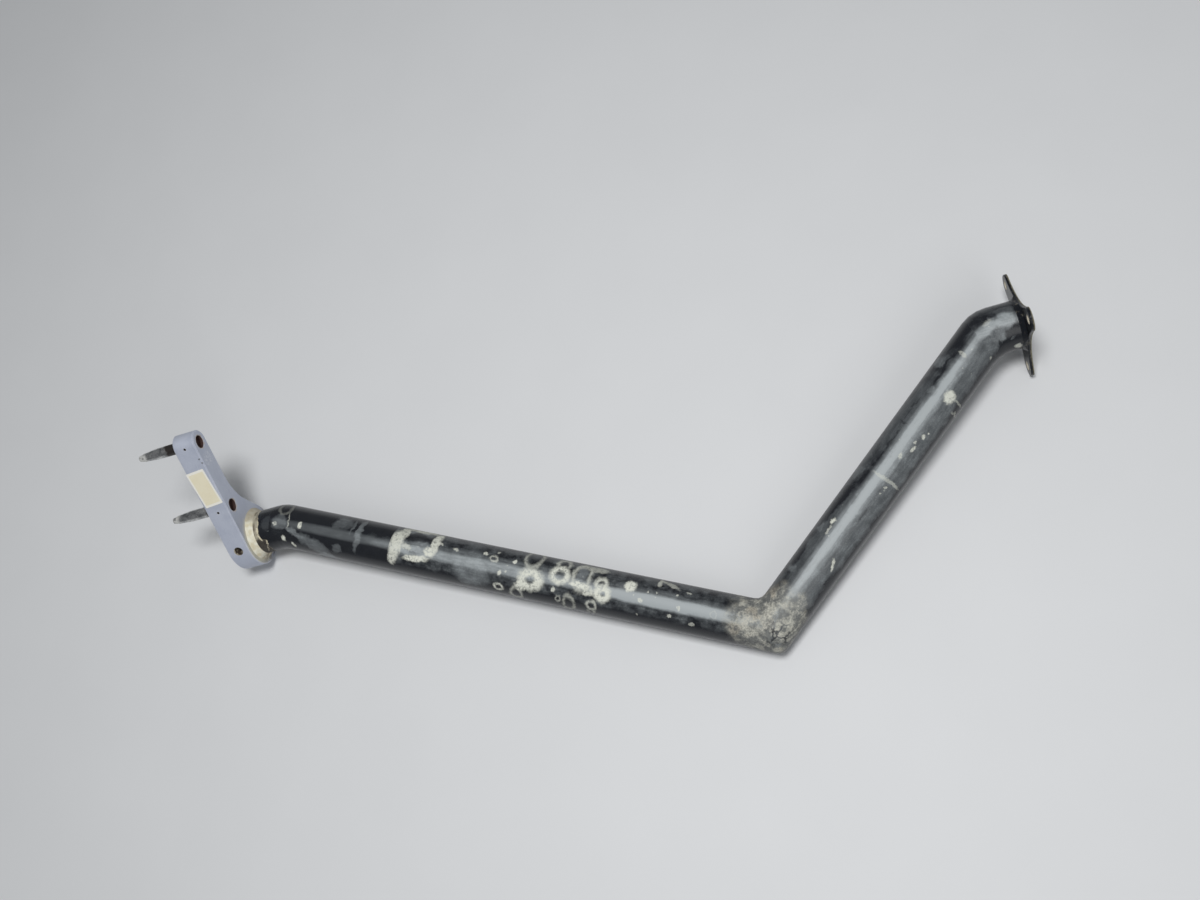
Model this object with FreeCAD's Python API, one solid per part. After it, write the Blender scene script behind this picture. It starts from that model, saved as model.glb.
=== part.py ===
import FreeCAD, Part
import math
import os

# Flap torsion tube: a cranked steel tube that turns about one straight line, the torsion axis.
# A three-eared flange closes one end. A flat arm with two drive pins is fitted on the other end.
# Between them two long tubes run out to an elbow, clear of the torsion axis, and back again.
#
# Frame, in millimetres: the origin is the middle of the flange's mating face, +X points out of
# that face along the torsion axis, +Z is up as the part lies, and the elbow reaches towards -Y.

# Driving dimensions

TUBE_DIAMETER = 25.4
TUBE_WALL = 1.65

AXIS_LENGTH = 445.1          # mating face to the near face of the arm
FLANGE_BEND_AT = 19.2        # mating face to the first mitre
ELBOW_AT = 162.4             # mating face to the elbow, along the axis
ELBOW_REACH = 121.5          # elbow centre to the axis, sideways
ELBOW_DROP = 10.6            # elbow centre below the axis
ARM_STUB_LENGTH = 18.4       # last mitre to the near face of the arm

FLANGE_THICKNESS = 1.7
FLANGE_HUB_WALL = 0.6        # beyond the tube, where the edge dips between two ears
BOLT_CIRCLE_DIAMETER = 50.8
BOLT_HOLE_DIAMETER = 4.85
EAR_COUNT = 3
EAR_TIP_AT = 24.6            # centre of the round tip, from the axis
EAR_TIP_RADIUS = 6.2
FIRST_EAR_ANGLE = -9.4       # degrees about +X, from +Y towards +Z
FLANGE_EDGE_BREAK = 0.3      # on the side away from the mating face

ARM_THICKNESS = 13.3
ARM_BOSS_WALL = 5.8          # boss beyond the tube
ARM_END_RADIUS = 6.9
ARM_ANGLE = 45.0             # degrees about +X, from +Y towards +Z
ARM_WEB_ANGLE = 45.0         # slope of the web where it leaves the boss
ARM_WEB_FILLET = 29.0
ARM_EDGE_CHAMFER = 0.6

LOWER_PIN_AT = 26.4          # along the arm from the torsion axis
PIN_SPACING = 41.8
PIN_SHANK_DIAMETER = 7.2
PIN_NOSE_DIAMETER = 6.4
PIN_TIP_DIAMETER = 3.2
PIN_LENGTH = 25.4            # from the arm's far face to the tip
PIN_TAPER_LENGTH = 12.4
PIN_TAPER_STEPS = 2
PIN_RECESS = 2.4
PIN_HOLE_CHAMFER = 0.35

LOCK_PIN_DIAMETER = 1.6
LOCK_PIN_WALL = 0.3
LOCK_PIN_SLOT = 0.3
LOCK_PIN_LENGTH = 9.6
LOCK_PIN_RECESS = 0.4

CROSS_BOLT_DIAMETER = 4.85
CROSS_HOLE_CHAMFER = 0.4

FLANGE_BEND_BLEND = 7.0      # half the length of a welded and dressed joint, square to its mitre
ELBOW_BLEND = 3.0
ARM_BEND_BLEND = 4.5
JOINT_STEPS = 3              # straight strips that round the outside of these joints
JOINT_BORE_STEPS = 1         # and their bores
FLANGE_WELD_LEG = 2.0
FLANGE_WELD_LENGTH = 2.4
SEALANT_WIDTH = 2.9
SEALANT_LENGTH = 3.2

LABEL_LENGTH = 22.8
LABEL_WIDTH = 11.2
LABEL_THICKNESS = 0.2
LABEL_AT = 42.9              # middle of the label, along the arm
LABEL_OFF_CENTRE = 0.4       # towards the far face
LABEL_CORNER = 0.6
LABEL_TILT = 4.0             # degrees, its outer end towards the far face

SOCKET_CLEARANCE = 0.05      # tube in the flange's bore and in the arm's bore
TUBE_END_RECESS = 1.2        # tube end inside the arm's far face

# Worked out from them

TUBE_RADIUS = TUBE_DIAMETER / 2
TUBE_BORE_RADIUS = TUBE_RADIUS - TUBE_WALL
SOCKET_RADIUS = TUBE_RADIUS + SOCKET_CLEARANCE
SPARE_LENGTH = 2 * TUBE_DIAMETER                # rods start long, then are cut to the mitres
BLOCK_SIZE = 6 * TUBE_DIAMETER                  # cutting block, wider than any slanted end
FLANGE_HUB_RADIUS = TUBE_RADIUS + FLANGE_HUB_WALL
BOLT_CIRCLE_RADIUS = BOLT_CIRCLE_DIAMETER / 2
EAR_SPACING = 360 / EAR_COUNT
EAR_DIRECTIONS = [FIRST_EAR_ANGLE + step * EAR_SPACING for step in range(EAR_COUNT)]
ARM_BOSS_RADIUS = TUBE_RADIUS + ARM_BOSS_WALL
ARM_FAR_FACE = AXIS_LENGTH + ARM_THICKNESS
ARM_MIDDLE = ARM_THICKNESS / 2
ARM_FLAT = ARM_BOSS_RADIUS                      # the flat edge is tangent to the boss
PIN_LINE = ARM_FLAT - ARM_END_RADIUS            # the upper pin is central in the arm's round end
UPPER_PIN_AT = LOWER_PIN_AT + PIN_SPACING
PIN_PLACES = {"lower": LOWER_PIN_AT, "upper": UPPER_PIN_AT}

V = FreeCAD.Vector
X_AXIS = V(1, 0, 0)

MATING_FACE = V(0, 0, 0)
FLANGE_BEND = V(-FLANGE_BEND_AT, 0, 0)
ELBOW = V(-ELBOW_AT, -ELBOW_REACH, -ELBOW_DROP)
ARM_BEND = V(-AXIS_LENGTH + ARM_STUB_LENGTH, 0, 0)
TUBE_END = V(-ARM_FAR_FACE + TUBE_END_RECESS, 0, 0)


def unit(vector):
    return vector * (1 / vector.Length)


def save(name, shape):
    """Write one sub-part, and say what it is."""
    solids = shape.Solids
    body = solids[0] if len(solids) == 1 else Part.makeCompound(solids)
    body.exportStep(os.path.join("parts", name + ".step"))
    print(name, "solids", len(solids), "volume", round(shape.Volume, 2), "valid", shape.isValid())


def turned_about_axis(profile):
    """Revolve a closed (x, radius) profile about the torsion axis."""
    return Part.Face(profile).revolve(V(0, 0, 0), X_AXIS, 360)


# The cranked tube

def beyond(point, normal):
    """A block that fills the space on the normal's side of a plane."""
    block = Part.makeBox(BLOCK_SIZE, BLOCK_SIZE, BLOCK_SIZE, V(-BLOCK_SIZE / 2, -BLOCK_SIZE / 2, 0))
    block.Placement = FreeCAD.Placement(point, FreeCAD.Rotation(V(0, 0, 1), normal))
    return block


def mitre_normal(before, corner, after):
    """Normal of the plane that halves the turn at a corner, pointing along the tube."""
    return unit(unit(corner - before) + unit(after - corner))


def rod(start, end, radius, start_normal, end_normal):
    """A round rod between two planes that may be slanted."""
    along = unit(end - start)
    length = (end - start).Length + 2 * SPARE_LENGTH
    bar = Part.makeCylinder(radius, length, start - along * SPARE_LENGTH, along)
    bar = bar.cut(beyond(start, start_normal * -1))
    return bar.cut(beyond(end, end_normal))


PATH = [MATING_FACE, FLANGE_BEND, ELBOW, ARM_BEND, TUBE_END]
BLENDS = [0, FLANGE_BEND_BLEND, ELBOW_BLEND, ARM_BEND_BLEND, 0]
CUTS = [V(-1, 0, 0)]
for before, corner, after in zip(PATH, PATH[1:], PATH[2:]):
    CUTS.append(mitre_normal(before, corner, after))
CUTS.append(V(-1, 0, 0))


def tube_rod(index, radius):
    """A round rod along one straight run, between the ends of the joints before and after it."""
    along = unit(PATH[index + 1] - PATH[index])
    start = PATH[index] + along * (BLENDS[index] / CUTS[index].dot(along))
    end = PATH[index + 1] - along * (BLENDS[index + 1] / CUTS[index + 1].dot(along))
    return rod(start, end, radius, CUTS[index], CUTS[index + 1])


def tube_piece(index):
    return tube_rod(index, TUBE_RADIUS).cut(tube_rod(index, TUBE_BORE_RADIUS))


def joint_ring(index, radius, offset):
    """The outline of a rounded joint on a plane parallel to its mitre, at an offset along the tube."""
    corner = PATH[index]
    normal = CUTS[index]
    along = unit(PATH[index + 1] - corner)
    across = unit(normal.cross(along))
    inwards = unit(across.cross(normal))
    half_turn = along.getAngle(normal)
    bend_radius = BLENDS[index] / math.sin(half_turn)
    sag = math.sqrt(bend_radius ** 2 - offset ** 2) - bend_radius * math.cos(half_turn)
    centre = corner + normal * offset + inwards * (BLENDS[index] * math.tan(half_turn) - sag)
    far_end = centre + inwards * (radius / math.cos(half_turn))
    return Part.Wire(Part.Ellipse(far_end, centre + across * radius, centre).toShape())


def rounded_rod(index, radius, steps):
    """A rod that turns a corner in short straight strips, tangent to the runs on both sides."""
    half_length = BLENDS[index]
    offsets = [half_length * (2 * step / steps - 1) for step in range(steps + 1)]
    return Part.makeLoft([joint_ring(index, radius, offset) for offset in offsets], True, True)


def welded_joint(index):
    """A joint that was welded all round and dressed smooth, with the tubes' own wall."""
    outside = rounded_rod(index, TUBE_RADIUS, JOINT_STEPS)
    return outside.cut(rounded_rod(index, TUBE_BORE_RADIUS, JOINT_BORE_STEPS))


# The flange

def on_circle(radius, degrees):
    """A point of the plane x = 0, about the torsion axis."""
    angle = math.radians(degrees)
    return V(0, radius * math.cos(angle), radius * math.sin(angle))


def ear_side(direction, turn):
    """The point of an ear where its round tip runs into the hollow on one side of it."""
    growth = FLANGE_HUB_RADIUS - EAR_TIP_RADIUS
    reach = EAR_TIP_AT * math.cos(math.radians(EAR_SPACING / 2)) - growth
    hollow_at = (EAR_TIP_AT ** 2 - growth ** 2) / (2 * reach)
    tip = on_circle(EAR_TIP_AT, direction)
    hollow = on_circle(hollow_at, direction + turn)
    return tip + unit(hollow - tip) * EAR_TIP_RADIUS


def flange_outline():
    """Round ear tips joined by hollow arcs, which dip to the hub half way between two ears."""
    turn = EAR_SPACING / 2
    edges = []
    for direction in EAR_DIRECTIONS:
        start = ear_side(direction, -turn)
        end = ear_side(direction, turn)
        next_start = ear_side(direction + EAR_SPACING, -turn)
        outermost = on_circle(EAR_TIP_AT + EAR_TIP_RADIUS, direction)
        innermost = on_circle(FLANGE_HUB_RADIUS, direction + turn)
        edges.append(Part.Arc(start, outermost, end).toShape())
        edges.append(Part.Arc(end, innermost, next_start).toShape())
    return Part.Wire(edges)


def flange_plate():
    plate = Part.Face(flange_outline()).extrude(X_AXIS * -FLANGE_THICKNESS)
    back_rim = [edge for edge in plate.Edges if edge.BoundBox.XMax < -FLANGE_THICKNESS / 2]
    plate = plate.makeChamfer(FLANGE_EDGE_BREAK, back_rim)
    drills = [Part.makeCylinder(SOCKET_RADIUS, FLANGE_THICKNESS, MATING_FACE, X_AXIS * -1)]
    for direction in EAR_DIRECTIONS:
        centre = on_circle(BOLT_CIRCLE_RADIUS, direction)
        drills.append(Part.makeCylinder(BOLT_HOLE_DIAMETER / 2, FLANGE_THICKNESS, centre, X_AXIS * -1))
    return plate.cut(drills)


def corner_ring(face_x, along, width, length):
    """A fillet ring in the corner between a flat face and the tube, seen as an (x, radius) profile."""
    inner = V(face_x, TUBE_RADIUS, 0)
    foot = V(face_x, TUBE_RADIUS + width, 0)
    toe = V(face_x + along * length, TUBE_RADIUS, 0)
    return turned_about_axis(Part.makePolygon([inner, foot, toe, inner]))


def flange_weld():
    """The fillet behind the plate, as wide as the plate leaves room for between its ears."""
    ring = corner_ring(-FLANGE_THICKNESS, -1, FLANGE_WELD_LEG, FLANGE_WELD_LENGTH)
    depth = FLANGE_THICKNESS + FLANGE_WELD_LENGTH
    return ring.common(Part.Face(flange_outline()).extrude(X_AXIS * -depth))


# The arm. Its own plane: u runs along the arm from the torsion axis, v runs across it towards
# the flat edge, and w is the depth from the near face, so w = 0 is x = -AXIS_LENGTH.

U_AXIS = on_circle(1, ARM_ANGLE)
V_AXIS = on_circle(1, ARM_ANGLE + 90)
NEAR_FACE = V(-AXIS_LENGTH, 0, 0)


def in_arm(u, v, w):
    return NEAR_FACE + U_AXIS * u + V_AXIS * v - X_AXIS * w


def arc_in_arm(centre, radius, start, end, w):
    """An arc about a centre in the arm's plane, between two angles in degrees from u."""
    points = []
    for degrees in (start, (start + end) / 2, end):
        angle = math.radians(degrees)
        points.append(in_arm(centre[0] + radius * math.cos(angle), centre[1] + radius * math.sin(angle), w))
    return Part.Arc(*points).toShape()


def line_in_arm(start, end, w):
    return Part.LineSegment(in_arm(*start, w), in_arm(*end, w)).toShape()


def arm_outline(w):
    """Boss, straight flat edge, round end, straight back edge, hollow fillet and sloping web."""
    slope = math.radians(ARM_WEB_ANGLE)
    back_edge = PIN_LINE - ARM_END_RADIUS
    web_start = (ARM_BOSS_RADIUS * math.sin(slope), -ARM_BOSS_RADIUS * math.cos(slope))
    corner_u = (ARM_BOSS_RADIUS + back_edge * math.cos(slope)) / math.sin(slope)
    reach = ARM_WEB_FILLET * math.tan(slope / 2)
    fillet_centre = (corner_u + reach, back_edge - ARM_WEB_FILLET)
    fillet_end = (corner_u - reach * math.cos(slope), back_edge - reach * math.sin(slope))
    edges = [
        line_in_arm((0, ARM_FLAT), (UPPER_PIN_AT, ARM_FLAT), w),
        arc_in_arm((UPPER_PIN_AT, PIN_LINE), ARM_END_RADIUS, 90, -90, w),
        line_in_arm((UPPER_PIN_AT, back_edge), (corner_u + reach, back_edge), w),
        arc_in_arm(fillet_centre, ARM_WEB_FILLET, 90, 90 + ARM_WEB_ANGLE, w),
        line_in_arm(fillet_end, web_start, w),
        arc_in_arm((0, 0), ARM_BOSS_RADIUS, ARM_WEB_ANGLE - 90, -270, w),
    ]
    return Part.Wire(edges)


def drilled_mouth(radius, chamfer, mouth, inward):
    """A countersink at a hole's mouth, started above the surface so that it cuts cleanly."""
    return Part.makeCone(radius + 2 * chamfer, radius, 2 * chamfer, mouth - inward * chamfer, inward)


def pin_drill(u):
    """A pin's hole right through the arm, with its mouth chamfered on the near face."""
    radius = PIN_SHANK_DIAMETER / 2
    hole = Part.makeCylinder(radius, ARM_THICKNESS, in_arm(u, PIN_LINE, 0), X_AXIS * -1)
    return hole.fuse(drilled_mouth(radius, PIN_HOLE_CHAMFER, in_arm(u, PIN_LINE, 0), X_AXIS * -1))


def lock_drill(u):
    """The small hole from the flat edge into a drive pin."""
    depth = LOCK_PIN_RECESS + LOCK_PIN_LENGTH
    return Part.makeCylinder(LOCK_PIN_DIAMETER / 2, depth, in_arm(u, ARM_FLAT, ARM_MIDDLE), V_AXIS * -1)


def cross_drill():
    """The bolt hole across the arm and the tube, through the torsion axis, chamfered in the flat edge."""
    radius = CROSS_BOLT_DIAMETER / 2
    start = in_arm(0, 2 * ARM_BOSS_RADIUS, ARM_MIDDLE)
    hole = Part.makeCylinder(radius, 4 * ARM_BOSS_RADIUS, start, V_AXIS * -1)
    mouth = in_arm(0, ARM_FLAT, ARM_MIDDLE)
    return hole.fuse(drilled_mouth(radius, CROSS_HOLE_CHAMFER, mouth, V_AXIS * -1))


def drive_arm():
    blank = Part.Face(arm_outline(0)).extrude(X_AXIS * -ARM_THICKNESS)
    rims = [edge for edge in blank.Edges if edge.BoundBox.XLength < ARM_THICKNESS / 2]
    blank = blank.makeChamfer(ARM_EDGE_CHAMFER, rims)
    socket = Part.makeCylinder(SOCKET_RADIUS, ARM_THICKNESS, NEAR_FACE, X_AXIS * -1)
    drills = [socket, cross_drill()]
    for u in PIN_PLACES.values():
        drills += [pin_drill(u), lock_drill(u)]
    return blank.cut(drills)


def drive_pin(u):
    """A stepped pin: a shank pressed in the arm, a straight nose and a bullet-shaped end."""
    shank = PIN_SHANK_DIAMETER / 2
    nose = PIN_NOSE_DIAMETER / 2
    drop = nose - PIN_TIP_DIAMETER / 2
    ogive = (PIN_TAPER_LENGTH ** 2 + drop ** 2) / (2 * drop)
    taper_start = ARM_THICKNESS + PIN_LENGTH - PIN_TAPER_LENGTH
    profile = [(PIN_RECESS, 0), (PIN_RECESS, shank), (ARM_THICKNESS, shank), (ARM_THICKNESS, nose),
               (taper_start, nose)]
    for step in range(1, PIN_TAPER_STEPS + 1):
        reach = PIN_TAPER_LENGTH * math.sqrt(step / PIN_TAPER_STEPS)
        profile.append((taper_start + reach, nose - ogive + math.sqrt(ogive ** 2 - reach ** 2)))
    profile += [(ARM_THICKNESS + PIN_LENGTH, 0), (PIN_RECESS, 0)]
    outline = Part.makePolygon([in_arm(u, PIN_LINE + radius, w) for w, radius in profile])
    pin = Part.Face(outline).revolve(in_arm(u, PIN_LINE, 0), X_AXIS, 360)
    return pin.cut(lock_drill(u))


def lock_pin(u):
    """A slotted spring pin that keeps a drive pin in the arm."""
    outer = LOCK_PIN_DIAMETER / 2
    top = in_arm(u, ARM_FLAT - LOCK_PIN_RECESS, ARM_MIDDLE)
    roll = Part.makeCylinder(outer, LOCK_PIN_LENGTH, top, V_AXIS * -1)
    bore = Part.makeCylinder(outer - LOCK_PIN_WALL, LOCK_PIN_LENGTH, top, V_AXIS * -1)
    slot = Part.makeBox(outer, LOCK_PIN_SLOT, LOCK_PIN_LENGTH, V(0, -LOCK_PIN_SLOT / 2, 0))
    slot.Placement = FreeCAD.Placement(top, FreeCAD.Rotation(V(0, 0, 1), V_AXIS * -1))
    return roll.cut([bore, slot])


def arm_label():
    """The thin blank label, stuck a little askew on the flat edge."""
    corner = V(-LABEL_LENGTH / 2, -LABEL_WIDTH / 2, 0)
    sheet = Part.makeBox(LABEL_LENGTH, LABEL_WIDTH, LABEL_THICKNESS, corner)
    corners = [edge for edge in sheet.Edges if edge.BoundBox.ZLength > LABEL_THICKNESS / 2]
    sheet = sheet.makeFillet(LABEL_CORNER, corners)
    middle = in_arm(LABEL_AT, ARM_FLAT, ARM_MIDDLE + LABEL_OFF_CENTRE)
    matrix = FreeCAD.Matrix(U_AXIS.x, -X_AXIS.x, V_AXIS.x, middle.x,
                            U_AXIS.y, -X_AXIS.y, V_AXIS.y, middle.y,
                            U_AXIS.z, -X_AXIS.z, V_AXIS.z, middle.z,
                            0, 0, 0, 1)
    askew = FreeCAD.Placement(V(0, 0, 0), FreeCAD.Rotation(V(0, 0, 1), LABEL_TILT))
    sheet.Placement = FreeCAD.Placement(matrix).multiply(askew)
    return sheet


# The parts

os.makedirs("parts", exist_ok=True)

save("flange_plate", flange_plate())
save("flange_weld", flange_weld())

save("flange_stub_tube", tube_piece(0))
save("inboard_tube", tube_piece(1))
save("outboard_tube", tube_piece(2))
save("arm_stub_tube", tube_piece(3).cut(cross_drill()))

save("flange_bend_weld", welded_joint(1))
save("elbow_weld", welded_joint(2))
save("arm_bend_weld", welded_joint(3))

save("drive_arm", drive_arm())
save("sealant_fillet", corner_ring(-AXIS_LENGTH, 1, SEALANT_WIDTH, SEALANT_LENGTH))
for place, u in PIN_PLACES.items():
    save(place + "_drive_pin", drive_pin(u))
    save(place + "_lock_pin", lock_pin(u))
save("arm_label", arm_label())
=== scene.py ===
import math

import bpy
from mathutils import Matrix, Vector

# Looks for the flap torsion tube: worn black enamel with lime rings and scuffs on the cranked
# tube, a satin blue-grey arm with a blank label, and stained steel pins.
# Blender works in metres. Places given in millimetres are in the same frame.

MM = 0.001

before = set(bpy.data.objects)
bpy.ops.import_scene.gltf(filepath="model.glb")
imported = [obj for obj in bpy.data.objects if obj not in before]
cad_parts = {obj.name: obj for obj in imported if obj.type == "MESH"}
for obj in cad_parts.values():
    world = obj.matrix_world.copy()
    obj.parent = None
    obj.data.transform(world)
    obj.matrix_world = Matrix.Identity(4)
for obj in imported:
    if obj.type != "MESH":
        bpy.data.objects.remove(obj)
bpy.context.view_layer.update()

# Places on the part, in millimetres

TUBE_RADIUS = 12.7
TUBE_BORE_RADIUS = 11.05
MATING_FACE = (0, 0, 0)
FLANGE_BEND = (-19.2, 0, 0)
ELBOW = (-162.4, -121.5, -10.6)
ARM_BEND = (-426.7, 0, 0)
ARM_NEAR_FACE = -445.1
ARM_FAR_FACE = -458.4
ARM_MIDDLE = (ARM_NEAR_FACE + ARM_FAR_FACE) / 2
PIN_ROWS = {"lower": 26.4, "upper": 68.2}
PIN_LINE = 11.6
ARM_FLAT = 18.5
LABEL_AT = 42.9
LABEL_OFF_CENTRE = 0.4
LABEL_TILT = math.radians(4.0)
EAR_DIRECTIONS = [math.radians(-9.4 + step * 120) for step in range(3)]
BOLT_CIRCLE_RADIUS = 25.4
U_AXIS = Vector((0, 1, 1)).normalized()
V_AXIS = Vector((0, -1, 1)).normalized()


def in_arm(u, v, x):
    """A place on the arm: u along it, v across it towards the flat edge."""
    return Vector((x, 0, 0)) + U_AXIS * u + V_AXIS * v


# Shader nodes

class Nodes:
    """Makes and links nodes in one tree."""

    def __init__(self, tree):
        self.tree = tree

    def add(self, kind, inputs=None, **settings):
        node = self.tree.nodes.new(kind)
        for key, value in settings.items():
            setattr(node, key, value)
        for key, value in (inputs or {}).items():
            self.put(node.inputs[key], value)
        return node

    def put(self, socket, value):
        if isinstance(value, bpy.types.NodeSocket):
            self.tree.links.new(value, socket)
        elif socket.type == "RGBA":
            socket.default_value = (*value, 1)
        else:
            socket.default_value = value

    def math(self, operation, *values):
        return self.add("ShaderNodeMath", dict(enumerate(values)), operation=operation).outputs[0]

    def vector(self, operation, *values):
        return self.add("ShaderNodeVectorMath", dict(enumerate(values)), operation=operation).outputs[0]

    def scaled(self, vector, factor):
        node = self.add("ShaderNodeVectorMath", {"Vector": vector, "Scale": factor}, operation="SCALE")
        return node.outputs["Vector"]

    def measure(self, operation, *values):
        """A vector operation whose answer is a number: DISTANCE, LENGTH or DOT_PRODUCT."""
        node = self.add("ShaderNodeVectorMath", dict(enumerate(values)), operation=operation)
        return node.outputs["Value"]

    def part(self, vector, letter):
        return self.add("ShaderNodeSeparateXYZ", {0: vector}).outputs[letter]

    def step(self, value, low, high, start=0.0, end=1.0):
        """A soft step: start where the value is under low, end where it is over high."""
        node = self.add("ShaderNodeMapRange",
                        {"Value": value, "From Min": low, "From Max": high, "To Min": start, "To Max": end},
                        interpolation_type="SMOOTHSTEP")
        return node.outputs["Result"]

    def between(self, value, low, high, soft):
        """1 between two values, with soft edges."""
        over = self.step(value, low - soft, low + soft)
        under = self.step(value, high - soft, high + soft, 1.0, 0.0)
        return self.all_of(over, under)

    def noise(self, place, size, detail=3.0, roughness=0.5, distortion=0.0):
        """Noise whose features are about size across, in the place's units."""
        return self.add("ShaderNodeTexNoise", {
            "Vector": place, "Scale": 1 / size, "Detail": detail,
            "Roughness": roughness, "Distortion": distortion}).outputs["Fac"]

    def mix(self, factor, a, b):
        node = self.add("ShaderNodeMix", data_type="RGBA")
        self.put(node.inputs["Factor"], factor)
        self.put(node.inputs[6], a)
        self.put(node.inputs[7], b)
        return node.outputs[2]

    def blend(self, factor, a, b):
        return self.add("ShaderNodeMix", {"Factor": factor, 2: a, 3: b}, data_type="FLOAT").outputs[0]

    def clamp(self, value):
        return self.add("ShaderNodeClamp", {"Value": value}).outputs[0]

    def most(self, values):
        """The largest of several masks."""
        total = values[0]
        for value in values[1:]:
            total = self.math("MAXIMUM", total, value)
        return total

    def all_of(self, *values):
        """The product of several masks."""
        total = values[0]
        for value in values[1:]:
            total = self.math("MULTIPLY", total, value)
        return total

    def without(self, mask):
        return self.math("SUBTRACT", 1.0, mask)

    def place(self):
        """Object coordinates, in millimetres."""
        return self.scaled(self.add("ShaderNodeTexCoord").outputs["Object"], 1 / MM)

    def shaken(self, place, size, amount):
        """The place moved about by noise, which frays the edges of what is drawn with it."""
        shift = self.add("ShaderNodeTexNoise", {"Vector": place, "Scale": 1 / size, "Detail": 2.0})
        shift = self.vector("SUBTRACT", shift.outputs["Color"], (0.5, 0.5, 0.5))
        return self.vector("ADD", place, self.scaled(shift, 2 * amount))

    def along(self, place, start, direction, stretch=1.0):
        """The place measured from start with X along a direction, with X shortened by stretch."""
        turn = Vector(direction).to_track_quat("X", "Z").to_euler()
        return self.add("ShaderNodeMapping", {
            "Vector": place, "Location": start, "Rotation": turn, "Scale": (stretch, 1, 1)},
            vector_type="TEXTURE").outputs[0]

    def chart(self, place, start, direction):
        """Two numbers for a place on a tube: along it, and round it from its top, in millimetres."""
        local = self.add("ShaderNodeSeparateXYZ", {0: self.along(place, start, direction)})
        angle = self.math("ARCTAN2", local.outputs["Y"], local.outputs["Z"])
        return local.outputs["X"], self.math("MULTIPLY", angle, TUBE_RADIUS)

    def mark(self, chart, at, degrees, length, width, strength=1.0, turn=0, hole=0.0, soft=0.2):
        """An ellipse on a chart, or a ring where hole is over 0. Length and width are half sizes."""
        along, round_it = chart
        beside = math.radians(degrees) * TUBE_RADIUS
        cos, sin = math.cos(math.radians(turn)), math.sin(math.radians(turn))
        x = self.math("MULTIPLY_ADD", along, cos / length, -(at * cos + beside * sin) / length)
        y = self.math("MULTIPLY_ADD", round_it, cos / width, -(beside * cos - at * sin) / width)
        if turn:
            x = self.math("MULTIPLY_ADD", round_it, sin / length, x)
            y = self.math("MULTIPLY_ADD", along, -sin / width, y)
        squared = self.math("MULTIPLY_ADD", x, x, self.math("MULTIPLY", y, y))
        disc = self.step(squared, (1 - soft) ** 2, (1 + soft) ** 2, strength, 0.0)
        if hole:
            return self.all_of(disc, self.step(squared, (hole - soft / 2) ** 2, (hole + soft) ** 2))
        return disc

    def marks(self, chart, rows, soft=0.2):
        total = self.mark(chart, *rows[0], soft=soft)
        for row in rows[1:]:
            total = self.math("MAXIMUM", total, self.mark(chart, *row, soft=soft))
        return total

    def ball(self, place, centre, radius, soft=0.5):
        """A ball round a point."""
        return self.step(self.measure("DISTANCE", place, centre), radius - soft, radius + soft, 1.0, 0.0)


def material(name):
    """An empty material with its shader, ready for its nodes."""
    made = bpy.data.materials.new(name)
    made.use_nodes = True
    tree = made.node_tree
    tree.nodes.clear()
    nodes = Nodes(tree)
    shader = nodes.add("ShaderNodeBsdfPrincipled")
    output = nodes.add("ShaderNodeOutputMaterial")
    tree.links.new(shader.outputs[0], output.inputs["Surface"])
    return made, nodes, shader


def finish_shader(nodes, shader, colour, roughness, height=None, depth=0.1, metallic=0.0):
    """Link colour, roughness and a bump whose height is in millimetres."""
    nodes.put(shader.inputs["Base Color"], colour)
    nodes.put(shader.inputs["Roughness"], roughness)
    nodes.put(shader.inputs["Metallic"], metallic)
    if height is not None:
        bump = nodes.add("ShaderNodeBump", {"Height": height, "Strength": 1.0, "Distance": depth * MM})
        nodes.put(shader.inputs["Normal"], bump.outputs[0])


# Tubes. Each row of marks: distance along the tube, degrees round it from its top towards -Y,
# half length, half width, strength, turn in degrees, and a ring's hole as a share.

ENAMEL = (0.008, 0.0095, 0.013)
ENAMEL_GLOSS = 0.5
HAZE = (0.33, 0.36, 0.37)
LIME = (0.78, 0.79, 0.71)
LIME_DARK = (0.60, 0.61, 0.52)
DARK_INSIDE = (0.045, 0.035, 0.03)
BARE_INSIDE = (0.085, 0.065, 0.05)
RUB_GREY = (0.17, 0.175, 0.165)
RUB_BEIGE = (0.52, 0.51, 0.44)
RUB_BROWN = (0.30, 0.23, 0.15)
BARE_DARK = (0.13, 0.105, 0.075)
BARE_TAN = (0.42, 0.39, 0.30)
BARE_BROWN = (0.018, 0.014, 0.012)
LIP_CREAM = (0.66, 0.60, 0.44)

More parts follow.
